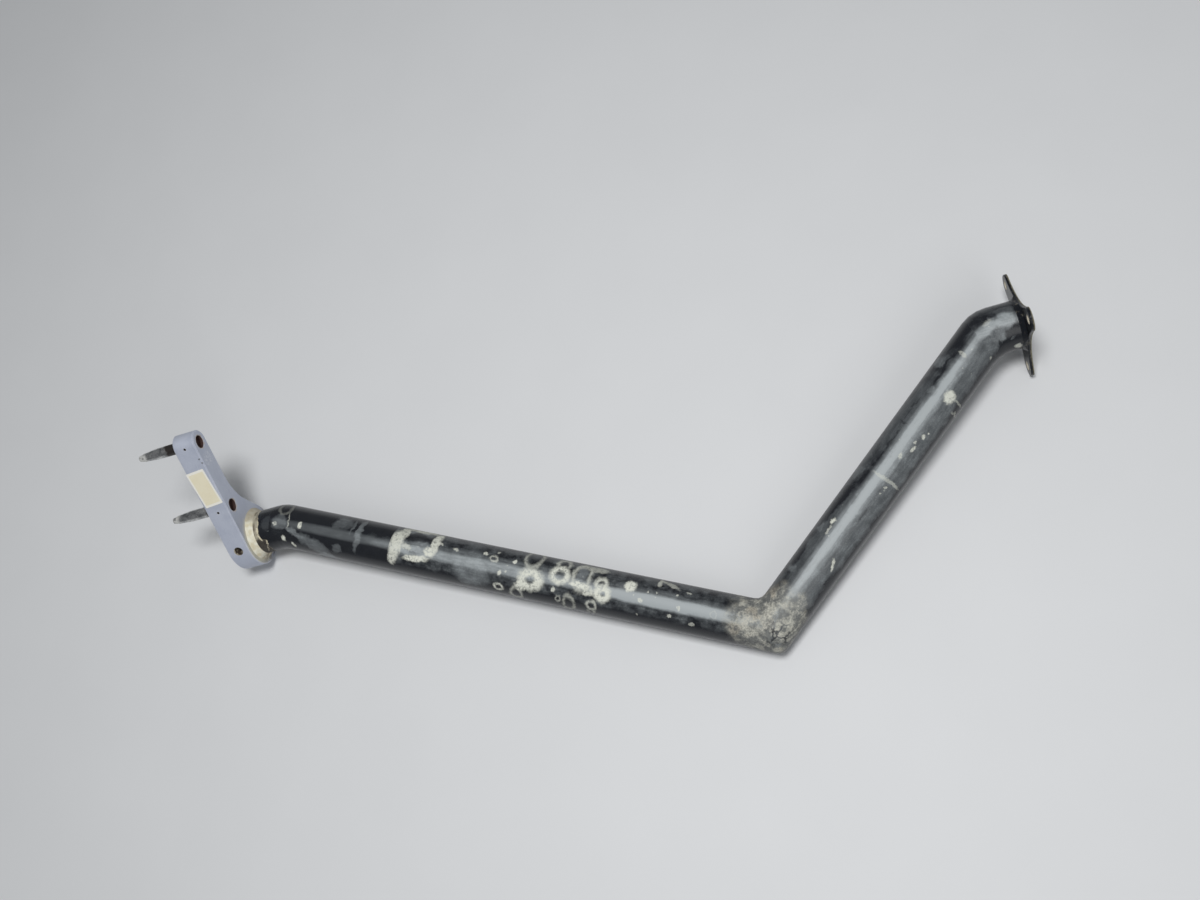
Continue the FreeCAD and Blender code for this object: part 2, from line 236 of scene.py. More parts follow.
OUTBOARD_LIME = [
    (28.5, 8, 1.6, 2.0, 0.45, 0, 0.75), (47, 10, 1.0, 1.0, 0.7), (68, 8, 1.5, 1.2, 0.8),
    (51.5, 33, 1.1, 0.8, 0.6), (39.5, 42, 1.4, 1.0, 0.5), (44, -32, 1.2, 0.7, 0.5),
    (16, -33, 1.5, 1.1, 0.4), (49, -20, 0.6, 0.6, 0.6), (60, -17, 0.5, 0.5, 0.6),
    (65, -14, 0.6, 0.6, 0.7), (69, 46, 0.6, 0.6, 0.6), (55, -50, 6.0, 1.3, 0.45, -25),
    (60.3, -52, 1.3, 3.6, 0.6), (75, -20, 3.1, 3.0, 1.0),
    (89, 14, 4.6, 4.6, 1.0, 0, 0.12), (90.5, -9, 3.8, 4.0, 0.8, 0, 0.3), (97, 16, 3.2, 1.8, 0.8),
    (102, -20, 5.0, 8.4, 0.8, 0, 0.66), (102, 5, 5.6, 1.7, 1.0), (95, -50, 5.5, 2.6, 0.5),
    (94.5, 50, 2.8, 3.4, 0.7, 0, 0.5), (93.6, 69, 0.8, 2.6, 0.4), (96.6, 67, 0.7, 2.2, 0.4),
    (114, -11, 5.4, 5.2, 1.0, 0, 0.40), (114, -44, 3.9, 5.0, 0.65, 0, 0.55),
    (107.5, 60, 3.3, 6.2, 0.6, 0, 0.64), (113.5, 50, 1.6, 2.3, 0.5, 0, 0.5),
    (116.5, 28, 1.2, 1.2, 0.8), (131.5, -47, 4.9, 8.0, 0.75, 0, 0.72),
    (130, 16, 6.9, 5.9, 1.0, 0, 0.22), (135, 34, 3.2, 3.2, 1.0), (138, 62, 3.6, 4.6, 0.6, 0, 0.6),
    (141, -20, 1.3, 1.3, 0.9), (148.5, 14, 1.0, 1.0, 0.8), (145, 8, 0.6, 0.6, 0.6),
    (148.5, 53, 2.9, 2.6, 0.9, 0, 0.45), (159, -28, 1.3, 1.2, 0.8), (153.5, -18, 2.1, 2.0, 0.6, 0, 0.5),
    (176.5, -19, 1.7, 0.9, 0.7, -30), (186, -28, 1.0, 0.7, 0.6), (152, -38, 1.0, 0.8, 0.5),
    (189.6, -28, 2.4, 8.6, 0.9), (191.6, -1, 3.0, 2.6, 1.0), (199, 22, 7.4, 1.8, 1.0, 8),
    (201, -66, 10.0, 2.2, 0.7), (212.8, -8, 3.9, 8.8, 0.85), (210.4, -48, 2.2, 4.6, 0.8, 20),
    (214, 34, 2.6, 4.0, 0.85), (206, -2, 3.0, 1.6, 0.6),
    (275.2, 0, 1.4, 1.7, 1.0), (278.6, 60, 1.0, 2.1, 1.0, 25), (285, 44, 1.0, 1.9, 1.0, 25),
    (283.6, -8, 0.35, 4.4, 0.6, 14), (289, -42, 3.8, 4.6, 0.5, 12, 0.84), (291.6, 9, 1.3, 1.2, 0.7, 0, 0.4),
]
OUTBOARD_DUST_AND_SHEEN = [
    (150, -2, 70, 4.6, 0.5), (50, 0, 36, 5.0, 0.5), (165, 18, 10.5, 9.5, 0.7), (202, 0, 13, 5.5, 0.9),
    (202, -50, 9, 3.5, 0.6), (75, -5, 8, 6, 0.6), (102, -24, 3.2, 6.0, 0.75), (130, 15, 2.0, 2.0, 0.6),
    (237, -10, 1.5, 10.0, 0.55), (242.2, -30, 0.9, 4.4, 0.4), (249.5, -32, 5.6, 4.4, 0.45),
    (266, 44, 9.5, 4.0, 0.55, -22), (277, 23, 7.0, 1.8, 0.7, -28), (257, 84, 6.0, 4.4, 0.8),
    (250, 42, 3.0, 2.4, 0.4), (288, 2, 5.0, 4.0, 0.5),
]
OUTBOARD_DARK = [
    (59.6, -38, 1.5, 1.3, 1.0), (201.5, -33, 7.6, 3.6, 0.85, 6), (203, 7.5, 12.0, 0.25, 0.7),
    (90, -42, 3.5, 1.2, 0.7), (123, -32, 4.5, 1.5, 0.8), (106, -32, 1.4, 1.2, 0.8), (111, -30, 1.2, 1.0, 0.8),
    (28, 80, 6, 3, 0.6), (130, 15, 1.0, 1.0, 0.7),
]
INBOARD_LIME = [
    (41.5, 32, 3.2, 3.0, 0.85, 20), (41, 60, 0.6, 4.6, 0.4), (46, 73, 0.9, 2.8, 0.35),
    (65.5, 37, 1.0, 0.9, 0.75), (62.5, 42, 0.6, 0.6, 0.7), (73.4, 33, 1.9, 0.9, 0.75),
    (70, 28, 0.8, 0.7, 0.6), (80, 19, 1.6, 0.9, 0.6), (98, 35, 0.9, 0.6, 0.6), (101.5, 34, 0.7, 0.5, 0.6),
    (94, 32, 0.8, 8.5, 0.42), (126.5, -18, 2.0, 1.0, 0.95), (131.5, -14, 2.6, 0.7, 0.5),
    (145, 42, 3.3, 0.7, 0.8, 22), (12, 60, 1.0, 0.8, 0.4), (19.5, -2, 1.0, 2.3, 0.4),
]
INBOARD_DUST_AND_SHEEN = [
    (88, 34, 100, 6.2, 0.6), (27, -40, 3.6, 3.6, 0.5), (98, -46, 4.4, 3.6, 0.5), (43, -14, 3.0, 2.2, 0.5),
    (95, 0, 1.7, 5.0, 0.5), (132, -36, 3.0, 2.0, 0.5), (60, -30, 24, 5.0, 0.34), (140, -20, 30, 5.0, 0.34),
    (4, 15, 6.0, 6.0, 0.5), (157, -36, 3.0, 3.0, 0.6),
]
INBOARD_DARK = [
    (8, -42, 14, 5.0, 1.0), (30, -20, 9.0, 1.0, 0.8, 5), (116, -38, 10.0, 2.6, 0.95),
    (150, -43, 7.0, 2.4, 0.9), (97, -15, 3.6, 2.2, 0.8), (64, -22, 0.6, 3.2, 0.6),
    (80, -16, 11.0, 0.45, 0.6), (113, 22, 18.0, 1.1, 0.5), (56, -26, 7.0, 0.4, 0.6, -4),
    (153, 60, 4.0, 1.6, 0.9),
]
# A straight pale band along each tube's top: painted highlight, over paler dust
OUTBOARD_PAINTED_HIGHLIGHT = [(52, 6, 46, 2.8, 1.1), (150, 4, 74, 2.6, 0.6), (250, 2, 34, 2.4, 0.3)]
INBOARD_PAINTED_HIGHLIGHT = [(98, 5, 96, 2.2, 1.1), (98, 6, 96, 3.6, 0.55)]
STUB_PAINTED_HIGHLIGHT = [(10, 4, 7, 3.0, 0.5), (21, 16, 9, 2.4, 0.7, 22)]
STUB_LIME = [(6.5, 80, 1.4, 2.0, 0.7, 30), (19.0, 0, 2.6, 1.2, 0.25, 25)]
STUB_DUST_AND_SHEEN = [
    (9.8, 5, 4.8, 4.6, 1.0), (17.5, 6, 3.4, 3.0, 0.6, 30), (14.2, 32, 3.2, 3.4, 0.75),
    (16.5, 46, 2.2, 2.4, 0.6), (7.8, 52, 0.9, 1.1, 0.5), (22, 40, 5.0, 6.0, 0.6), (9, -18, 5.0, 3.0, 0.35),
]
STUB_DARK = [
    (1.5, 0, 2.8, 60, 1.0), (9.6, 34, 2.2, 1.6, 0.85), (6.0, 40, 3.0, 4.0, 0.9), (15.6, 55, 0.8, 2.0, 0.9),
]
ARM_STUB_LIME = [
    (2.5, -13, 1.0, 0.8, 0.7), (2.0, 5, 1.3, 0.5, 0.8), (2.8, 12, 1.0, 0.6, 0.8), (-1, 50, 0.8, 2.0, 1.0),
]
ARM_STUB_DUST_AND_SHEEN = [(-2, 5, 4.0, 3.4, 0.45), (4, 25, 2.4, 0.5, 0.4, -20), (6, -2, 3.6, 4.0, 0.16)]
ARM_STUB_DARK = [(10, 60, 6, 6, 1.0)]
ARM_STUB_LIP = [
    (11.8, -6, 0.4, 2.0, 0.8), (12.8, 15, 0.6, 1.8, 1.0), (12.4, 34, 0.5, 2.2, 0.9, 22),
    (9.2, 51, 0.4, 1.6, 0.8, -20), (11.2, 74, 0.2, 3.4, 0.6, -24),
]

# The arm bend carries the end of the outboard tube's marks. Its one dark row lies far away from it.
BEND_LIME_FROM = 278
BEND_DUST_AND_SHEEN_FROM = 270
ARM_BEND_LIME = [row for row in OUTBOARD_LIME if row[0] > BEND_LIME_FROM]
ARM_BEND_DUST_AND_SHEEN = [row for row in OUTBOARD_DUST_AND_SHEEN if row[0] > BEND_DUST_AND_SHEEN_FROM]
ARM_BEND_DARK = OUTBOARD_DARK[:1]
ARM_PAINTED_HIGHLIGHT = OUTBOARD_PAINTED_HIGHLIGHT[2:]

# Edges along a tube, in millimetres from its start
OUTBOARD_CLEAN_FROM = 216.8
CLEAN_EDGE = 0.4
LIME_EDGE = 0.15
LIME_AGAIN = (240, 242)
ARM_STUB_BARE_FROM = 12.2
BARE_STEP = 2.8
BARE_STEP_BESIDE = (8.6, 9.6)
BROWN_BESIDE = (6.5, 9.5)

RUB_CENTRE = Vector(ELBOW) + Vector((0, 1.5, 14.0))
RUB_RADIUS = 19.5
CRACKS_CENTRE = Vector(ELBOW) + Vector((4, -7, 10))
CRACKS_RADIUS = 7.0


def tube_dust_and_sheen(nodes, place, start, end, painted_highlight, dust_and_sheen, dark, up_side, down_side, clean_from):
    """A tube's chart, plain and frayed, and its grey dust and painted sheen on the top, which thin out down
    both sides.
    """
    direction = Vector(end) - Vector(start)
    chart = nodes.chart(place, start, direction)
    frayed = nodes.shaken(nodes.shaken(place, 3.4, 1.3), 0.9, 0.75)
    fray_chart = nodes.chart(frayed, start, direction)
    loose_chart = nodes.chart(nodes.shaken(nodes.shaken(place, 7.0, 3.0), 1.6, 1.2), start, direction)
    round_it = nodes.chart(nodes.shaken(place, 6.0, 2.2), start, direction)[1]

    fibres = nodes.step(nodes.noise(nodes.along(place, start, direction, 5), 1.4, 5, 0.62), 0.32, 0.70)
    clouds = nodes.step(nodes.noise(place, 6.5, 4, 0.6), 0.34, 0.66)
    dust = nodes.step(nodes.noise(place, 0.7, 3, 0.7), 0.40, 0.66)
    # Grey dust and painted sheen on the tube's top, thinning down both sides.
    upper = nodes.between(round_it, -13.0, -1.0, 1.6)
    lower = nodes.between(round_it, -1.0, 9.6, 1.6)
    veil = nodes.math("ADD", nodes.all_of(upper, up_side, clouds), nodes.all_of(lower, down_side, clouds))
    veil = nodes.all_of(veil, nodes.blend(dust, 0.5, 1.0), nodes.blend(fibres, 0.5, 1.0))
    if clean_from is not None:
        clean = nodes.step(chart[0], clean_from - CLEAN_EDGE, clean_from + CLEAN_EDGE, 1.0, 0.05)
        veil = nodes.all_of(veil, clean)
    soft_dust_and_sheen = nodes.marks(loose_chart, dust_and_sheen, 0.35)
    soft_dust_and_sheen = nodes.all_of(soft_dust_and_sheen, nodes.blend(fibres, 0.62, 1.0), nodes.blend(clouds, 0.7, 1.0))
    veil = nodes.most([veil, nodes.all_of(soft_dust_and_sheen, nodes.blend(dust, 0.7, 1.0))])
    gone = nodes.marks(loose_chart, dark, 0.3)
    veil = nodes.all_of(veil, nodes.without(gone))
    # Painted highlight: a pale band laid into the grey along the tube's top.
    highlight_mask = nodes.all_of(nodes.marks(chart, painted_highlight, 0.5), nodes.blend(fibres, 0.8, 1.0))
    veil = nodes.math("ADD", veil, nodes.all_of(highlight_mask, nodes.blend(clouds, 0.85, 1.0)))
    return chart, fray_chart, veil


def tube_enamel(name, start, end, lime, painted_highlight, dust_and_sheen, dark, up_side, down_side, clean_from=None,
                bare_from=None, rubbed=False, bend_axis=None):
    """Worn black enamel on one tube, with grey dust and painted sheen on its top, lime rings, chips, and bare
    metal next to the arm.
    """
    made, nodes, shader = material(name)
    place = nodes.place()
    chart, frayed, veil = tube_dust_and_sheen(nodes, place, start, end, painted_highlight, dust_and_sheen, dark,
                                    up_side, down_side, clean_from)
    specks = nodes.add("ShaderNodeTexVoronoi", {
        "Vector": nodes.shaken(place, 1.5, 0.4), "Scale": 1 / 3.6, "Randomness": 1.0})
    dots = nodes.step(specks.outputs["Distance"], 0.06, 0.12, 1.0, 0.0)
    chosen = nodes.add("ShaderNodeSeparateColor", {0: specks.outputs["Color"]}).outputs[0]
    dots = nodes.all_of(dots, nodes.step(chosen, 0.68, 0.74), nodes.step(veil, 0.15, 0.4, 0.0, 0.6))
    if clean_from is not None:
        covered = nodes.step(chart[0], clean_from - CLEAN_EDGE, clean_from + CLEAN_EDGE, 1.0, 0.0)
        dots = nodes.all_of(dots, covered)

    # The grey is dust, with painted sheen on the tube's top.
    colour = nodes.mix(veil, ENAMEL, HAZE)
    roughness = nodes.blend(nodes.clamp(veil), 0.27, 0.50)
    height = nodes.math("MULTIPLY", nodes.noise(place, 3.2, 2), 0.2)

    crust = nodes.math("MAXIMUM", nodes.marks(frayed, lime, 0.32), dots)
    pores = nodes.step(nodes.noise(place, 1.6, 5, 0.75), 0.33, 0.52, 0.25, 1.0)
    crust = nodes.all_of(crust, pores)
    if clean_from is not None:
        limy = nodes.step(chart[0], clean_from - LIME_EDGE, clean_from + LIME_EDGE, 1.0, 0.0)
        limy = nodes.math("MAXIMUM", limy, nodes.step(chart[0], *LIME_AGAIN))
        crust = nodes.all_of(crust, limy)
    tint = nodes.mix(nodes.noise(place, 2.4, 4), LIME_DARK, LIME)
    colour = nodes.mix(crust, colour, tint)
    roughness = nodes.blend(crust, roughness, 0.85)

    if rubbed:
        colour, roughness, height = rub_elbow(nodes, place, colour, roughness, height)
    if bare_from is not None:
        colour, roughness, height = bare_end(nodes, place, chart, frayed, bare_from,
                                             colour, roughness, height)

    local = nodes.along(place, start, Vector(end) - Vector(start))
    radius = nodes.measure("LENGTH", nodes.vector("MULTIPLY", local, (0, 1, 1)))
    if bend_axis is not None:
        beside = nodes.vector("MULTIPLY", nodes.along(place, end, bend_axis), (0, 1, 1))
        radius = nodes.math("MAXIMUM", radius, nodes.measure("LENGTH", beside))
    inside = nodes.step(radius, TUBE_BORE_RADIUS + 0.1, TUBE_BORE_RADIUS + 0.4, 1.0, 0.0)
    rust = nodes.mix(nodes.noise(place, 5, 5, 0.6), DARK_INSIDE, BARE_INSIDE)
    colour = nodes.mix(inside, colour, rust)
    roughness = nodes.blend(inside, roughness, 0.75)
    finish_shader(nodes, shader, colour, roughness, height, 0.10)
    shader.inputs["Specular IOR Level"].default_value = ENAMEL_GLOSS
    return made


def rub_elbow(nodes, place, colour, roughness, height):
    """Grey and beige grit where the elbow's paint is rubbed away, with a few dark cracks."""
    near = nodes.ball(nodes.shaken(nodes.shaken(place, 11, 7), 2.0, 1.6), RUB_CENTRE, RUB_RADIUS, 5.0)
    grit = nodes.step(nodes.noise(place, 1.0, 5, 0.75), 0.38, 0.60)
    patches = nodes.step(nodes.noise(place, 4.5, 4, 0.6), 0.38, 0.62)
    rub = nodes.mix(patches, RUB_GREY, RUB_BEIGE)
    rub = nodes.mix(nodes.step(nodes.noise(place, 9, 3), 0.55, 0.68, 0.0, 0.35), rub, RUB_BROWN)
    cells = nodes.add("ShaderNodeTexVoronoi", {
        "Vector": nodes.shaken(place, 3, 1.2), "Scale": 1 / 6.5}, feature="DISTANCE_TO_EDGE")
    crack = nodes.step(cells.outputs["Distance"], 0.03, 0.08, 1.0, 0.0)
    crack = nodes.all_of(crack, nodes.ball(place, CRACKS_CENTRE, CRACKS_RADIUS, 3.0))
    mask = nodes.all_of(near, nodes.blend(grit, 0.45, 1.0), nodes.without(nodes.all_of(crack, 0.9)))
    height = nodes.math("ADD", height, nodes.all_of(mask, grit, 0.5))
    return nodes.mix(mask, colour, rub), nodes.blend(mask, roughness, 0.7), height


def bare_end(nodes, place, chart, frayed, start, colour, roughness, height):
    """The tube's end by the arm: a jagged paint edge with a thin cream lip, then tan bare metal."""
    edge = nodes.chart(nodes.shaken(place, 2.6, 1.0), ARM_BEND, (-1, 0, 0))[0]
    round_it = chart[1]
    paint_end = nodes.step(round_it, *BARE_STEP_BESIDE, start, start - BARE_STEP)
    past = nodes.math("SUBTRACT", edge, paint_end)
    bare = nodes.step(past, -0.15, 0.15)
    smears = nodes.noise(nodes.along(place, (0, 0, 0), (0, 1, 0), 5), 2.4, 4, 0.6)
    metal = nodes.mix(nodes.step(smears, 0.34, 0.64), BARE_DARK, BARE_TAN)
    brown = nodes.step(nodes.chart(nodes.shaken(place, 3, 1.5), ARM_BEND, (-1, 0, 0))[1], *BROWN_BESIDE)
    metal = nodes.mix(nodes.all_of(brown, 0.9), metal, BARE_BROWN)
    colour = nodes.mix(bare, colour, metal)
    lip = nodes.marks(frayed, ARM_STUB_LIP)
    thin = nodes.all_of(nodes.step(past, -0.3, -0.1), nodes.step(past, 0.05, 0.35, 0.6, 0.0))
    lip = nodes.math("MAXIMUM", lip, nodes.all_of(thin, nodes.step(round_it, 8, 10, 1.0, 0.35)))
    colour = nodes.mix(lip, colour, LIP_CREAM)
    height = nodes.math("SUBTRACT", height, nodes.all_of(bare, 1.0))
    return colour, nodes.blend(bare, roughness, 0.6), height


def elbow_enamel(name):
    """Enamel over the dressed elbow joint, rubbed to grey and beige on its top."""
    made, nodes, shader = material(name)
    place = nodes.place()
    veil = nodes.step(nodes.noise(place, 5, 5, 0.65), 0.45, 0.68)
    colour = nodes.mix(nodes.all_of(veil, 0.6), ENAMEL, HAZE)
    roughness = nodes.blend(veil, 0.3, 0.55)
    colour, roughness, height = rub_elbow(nodes, place, colour, roughness, nodes.noise(place, 2.2, 2))
    finish_shader(nodes, shader, colour, roughness, height, 0.10)
    shader.inputs["Specular IOR Level"].default_value = ENAMEL_GLOSS
    return made


# Flange, with the worn face's edge measured along X in millimetres

FACE_WEAR = (-0.75, -0.35)
EAR_HOLE_RADIUS = 2.55
FACE_DARK = (0.05, 0.045, 0.03)
FACE_OLIVE = (0.27, 0.25, 0.17)
RIM_CHIP = (0.40, 0.36, 0.27)
HOLE_CREAM_AND_GLINT = (0.55, 0.51, 0.42)


def flange_enamel(name):
    """Black enamel, worn to olive brown at the mating face, with bare cream bores and a painted glint in the
    bolt holes.
    """
    made, nodes, shader = material(name)
    place = nodes.place()
    frayed = nodes.shaken(place, 1.4, 0.5)
    scuffs = nodes.step(nodes.noise(place, 4.5, 5, 0.65), 0.58, 0.76)
    colour = nodes.mix(nodes.all_of(scuffs, 0.2), ENAMEL, HAZE)
    front = nodes.step(nodes.part(frayed, "X"), *FACE_WEAR)
    worn = nodes.mix(nodes.noise(place, 2.0, 4, 0.6), FACE_DARK, FACE_OLIVE)
    colour = nodes.mix(front, colour, worn)
    rim = nodes.step(nodes.noise(place, 1.5, 5, 0.7), 0.60, 0.66)
    colour = nodes.mix(nodes.all_of(rim, 0.5), colour, RIM_CHIP)
    # Bolt hole bores painted cream: bare metal, and a painted glint.
    flat = nodes.vector("MULTIPLY", place, (0, 1, 1))
    holes = [nodes.ball(flat, (0, BOLT_CIRCLE_RADIUS * math.cos(angle), BOLT_CIRCLE_RADIUS * math.sin(angle)),
                        EAR_HOLE_RADIUS, 0.1) for angle in EAR_DIRECTIONS]
    bare = nodes.most(holes)
    colour = nodes.mix(bare, colour, HOLE_CREAM_AND_GLINT)
    roughness = nodes.blend(nodes.most([scuffs, front, bare]), 0.28, 0.6)
    height = nodes.math("SUBTRACT", nodes.noise(place, 2.2, 3), nodes.all_of(rim, 0.6))
    finish_shader(nodes, shader, colour, roughness, height, 0.10)
    shader.inputs["Specular IOR Level"].default_value = ENAMEL_GLOSS / 2
    return made


# Arm. Each chip: along the arm, across it, X, and its radius, in millimetres.

ARM_CHIPS = ((60.5, 18.2, -446.5, 0.7), (57.8, 18.0, -446.1, 0.6), (33.0, 18.0, -446.2, 0.5))
ARM_BLUE = (0.44, 0.475, 0.57)
ARM_BLUE_PALE = (0.50, 0.535, 0.625)
ARM_SPECK = (0.35, 0.38, 0.46)
ARM_SCRATCH = (0.66, 0.69, 0.74)
ARM_SCUFF = (0.72, 0.74, 0.78)
ARM_EDGE_WEAR_AND_HIGHLIGHT = (0.80, 0.81, 0.84)
ARM_CHIP = (0.16, 0.17, 0.18)
ARM_SMEAR = (0.70, 0.67, 0.52)
ARM_DARK_BELOW_BOSS = (0.19, 0.165, 0.13)
PIN_RIM = (0.46, 0.36, 0.24)
PIN_HOLE = (0.045, 0.020, 0.016)
BOLT_HOLE_DARK = (0.05, 0.035, 0.025)
BOLT_HOLE_TAN = (0.42, 0.38, 0.29)
EDGE_RADIUS = 0.45
SCUFF_RADIUS = 4.2
SMEAR_RADIUS = 15.6
DARK_BELOW_BOSS_RADIUS = 18.0
DARK_BELOW_BOSS_DEPTH = (-9, 1)
PIN_HOLE_EDGE = (3.62, 3.80)
PIN_RIM_EDGE = (4.0, 4.5)
BOLT_HOLE_EDGE = (2.5, 2.9)


def arm_finish(name):
    """Satin blue-grey finish, with bright edges of wear and painted highlight, brown holes, and darker below
    the boss.
    """
    made, nodes, shader = material(name)
    place = nodes.place()
    geometry = nodes.add("ShaderNodeNewGeometry")
    # Bright edges: wear, and painted highlight along the chamfers.
    rounded = nodes.add("ShaderNodeBevel", {"Radius": EDGE_RADIUS * MM}, samples=6)
    turn = nodes.measure("DOT_PRODUCT", rounded.outputs[0], geometry.outputs["Normal"])
    edge = nodes.step(turn, 0.88, 0.99, 1.0, 0.0)
    edge = nodes.all_of(edge, nodes.step(nodes.noise(place, 3.0, 4, 0.6), 0.30, 0.50, 0.4, 1.0))
    mottle = nodes.noise(place, 14, 4, 0.6)
    fine = nodes.noise(place, 0.8, 3, 0.6)
    colour = nodes.mix(nodes.step(mottle, 0.35, 0.65), ARM_BLUE, ARM_BLUE_PALE)
    colour = nodes.mix(nodes.step(fine, 0.3, 0.7, 0.0, 0.16), colour, ARM_SPECK)
    scratch = nodes.step(nodes.noise(nodes.along(place, (0, 0, 0), U_AXIS, 18), 0.6, 2), 0.68, 0.74)
    colour = nodes.mix(nodes.all_of(scratch, 0.4), colour, ARM_SCRATCH)
    scuffed = nodes.ball(nodes.shaken(place, 3, 2), in_arm(58, 12, ARM_NEAR_FACE), SCUFF_RADIUS, 1.0)
    scuffed = nodes.all_of(scuffed, nodes.step(nodes.noise(place, 1.2, 4, 0.7), 0.48, 0.58))
    colour = nodes.mix(nodes.all_of(scuffed, 0.6), colour, ARM_SCUFF)
    colour = nodes.mix(nodes.all_of(edge, 0.8), colour, ARM_EDGE_WEAR_AND_HIGHLIGHT)
    chips = nodes.most([
        nodes.ball(nodes.shaken(place, 1.2, 0.5), in_arm(u, v, x), r, 0.2)
        for u, v, x, r in ARM_CHIPS])
    colour = nodes.mix(chips, colour, ARM_CHIP)

    on_face = nodes.step(nodes.part(place, "X"), ARM_NEAR_FACE - 0.5, ARM_NEAR_FACE - 0.1)
    smear = nodes.ball(nodes.shaken(place, 4, 1.0), in_arm(-1.0, 2.6, ARM_NEAR_FACE), SMEAR_RADIUS, 2.2)
    smear = nodes.all_of(smear, on_face, nodes.step(nodes.measure("DOT_PRODUCT", place, V_AXIS), -4, 6))
    colour = nodes.mix(nodes.all_of(smear, 0.85), colour, ARM_SMEAR)
    # Darker on the near face below the boss.
    depth = nodes.part(nodes.shaken(place, 5, 2.5), "Z")
    dark_below_boss = nodes.ball(nodes.shaken(place, 3, 1.5), (ARM_NEAR_FACE, 0, 0), DARK_BELOW_BOSS_RADIUS, 1.6)
    dark_below_boss = nodes.all_of(dark_below_boss, on_face)
    dark_below_boss = nodes.all_of(dark_below_boss, nodes.step(depth, *DARK_BELOW_BOSS_DEPTH, 1.0, 0.0),
                         nodes.step(nodes.noise(place, 3, 4, 0.6), 0.3, 0.6))
    colour = nodes.mix(nodes.all_of(dark_below_boss, 0.75), colour, ARM_DARK_BELOW_BOSS)

    flat = nodes.vector("MULTIPLY", place, (0, 1, 1))
    holes = []
    rims = []
    for row in PIN_ROWS.values():
        reach = nodes.measure("DISTANCE", flat, in_arm(row, PIN_LINE, 0))
        holes.append(nodes.step(reach, *PIN_HOLE_EDGE, 1.0, 0.0))
        rims.append(nodes.step(reach, *PIN_RIM_EDGE, 1.0, 0.0))
    rim = nodes.all_of(nodes.most(rims), on_face, nodes.step(nodes.noise(place, 2.0, 3), 0.35, 0.6))
    colour = nodes.mix(nodes.all_of(rim, 0.8), colour, PIN_RIM)
    beside = nodes.vector("SUBTRACT", place, (ARM_MIDDLE, 0, 0))
    bolt = nodes.measure("LENGTH", nodes.vector("SUBTRACT", beside, nodes.scaled(
        nodes.add("ShaderNodeCombineXYZ", {"X": 0.0, "Y": V_AXIS.y, "Z": V_AXIS.z}).outputs[0],
        nodes.measure("DOT_PRODUCT", beside, V_AXIS))))
    bolt_hole = nodes.step(bolt, *BOLT_HOLE_EDGE, 1.0, 0.0)
    dark_tone = nodes.mix(nodes.step(nodes.noise(place, 2.2, 3), 0.42, 0.58), BOLT_HOLE_DARK, BOLT_HOLE_TAN)
    colour = nodes.mix(bolt_hole, colour, dark_tone)
    rusty = nodes.most(holes)
    colour = nodes.mix(rusty, colour, PIN_HOLE)
    roughness = nodes.blend(nodes.step(mottle, 0.3, 0.7), 0.38, 0.48)
    roughness = nodes.blend(nodes.most([rusty, bolt_hole]), roughness, 0.8)
    dull = nodes.most([rusty, dark_below_boss, smear, bolt_hole])
    metallic = nodes.math("MULTIPLY", nodes.without(dull), 0.2)
    height = nodes.math("ADD", nodes.math("MULTIPLY", fine, 0.5), nodes.noise(place, 0.35, 2))
    finish_shader(nodes, shader, colour, roughness, height, 0.03, metallic)
    return made


# Pins, with lengths from the arm's faces in millimetres

PIN_DARK = (0.30, 0.305, 0.31)
PIN_PALE = (0.66, 0.66, 0.65)
PIN_STAIN = (0.022, 0.018, 0.016)
PIN_FROST = (0.66, 0.66, 0.63)
PIN_RUST = (0.05, 0.022, 0.018)
FROST_FROM = 20.0
FROST_FULL = 22.5
RUST_FROM = 6.0
RUST_FULL = 4.0
LOCK_PIN_DARK = (0.02, 0.015, 0.012)
LOCK_PIN_PALE = (0.07, 0.055, 0.045)


def pin_steel(name, stain_length):
    """Polished dark steel, stained black next to the arm, frosted at the tip, rusty in its hole."""
    made, nodes, shader = material(name)
    place = nodes.place()
    x = nodes.part(nodes.shaken(nodes.shaken(place, 5, 2.6), 1.2, 0.8), "X")
    rings = nodes.noise(nodes.along(place, (0, 0, 0), (0, 1, 0), 12), 0.35, 3)
    tone = nodes.noise(place, 3.0, 5, 0.65)
    steel = nodes.mix(nodes.step(tone, 0.34, 0.62), PIN_DARK, PIN_PALE)
    stain = nodes.step(x, ARM_FAR_FACE - stain_length - 2.0, ARM_FAR_FACE - stain_length + 1.0)
    spots = nodes.step(nodes.noise(place, 1.4, 5, 0.7), 0.56, 0.66)
    stain = nodes.math("MAXIMUM", stain, nodes.all_of(spots, 0.45))
    colour = nodes.mix(stain, steel, PIN_STAIN)
    frost = nodes.step(x, ARM_FAR_FACE - FROST_FULL, ARM_FAR_FACE - FROST_FROM, 1.0, 0.0)
    frost = nodes.all_of(frost, nodes.step(tone, 0.34, 0.5))
    colour = nodes.mix(nodes.all_of(frost, 0.8), colour, PIN_FROST)
    inside = nodes.step(x, ARM_NEAR_FACE - RUST_FROM, ARM_NEAR_FACE - RUST_FULL)
    colour = nodes.mix(inside, colour, PIN_RUST)
    covered = nodes.most([stain, inside])
    roughness = nodes.blend(nodes.most([nodes.all_of(stain, 0.4), inside, frost]), 0.22, 0.65)
    metallic = nodes.without(nodes.all_of(nodes.most([covered, nodes.all_of(frost, 0.7)]), 0.85))
    finish_shader(nodes, shader, colour, roughness, nodes.math("ADD", rings, tone), 0.02, metallic)
    return made


def lock_pin_steel(name):
    """Dark spring steel with a rough grain."""
    made, nodes, shader = material(name)
    place = nodes.place()
    tone = nodes.noise(place, 0.6, 4, 0.6)
    colour = nodes.mix(tone, LOCK_PIN_DARK, LOCK_PIN_PALE)
    finish_shader(nodes, shader, colour, nodes.blend(tone, 0.4, 0.7), tone, 0.02, 0.5)
    return made


# Label and sealant

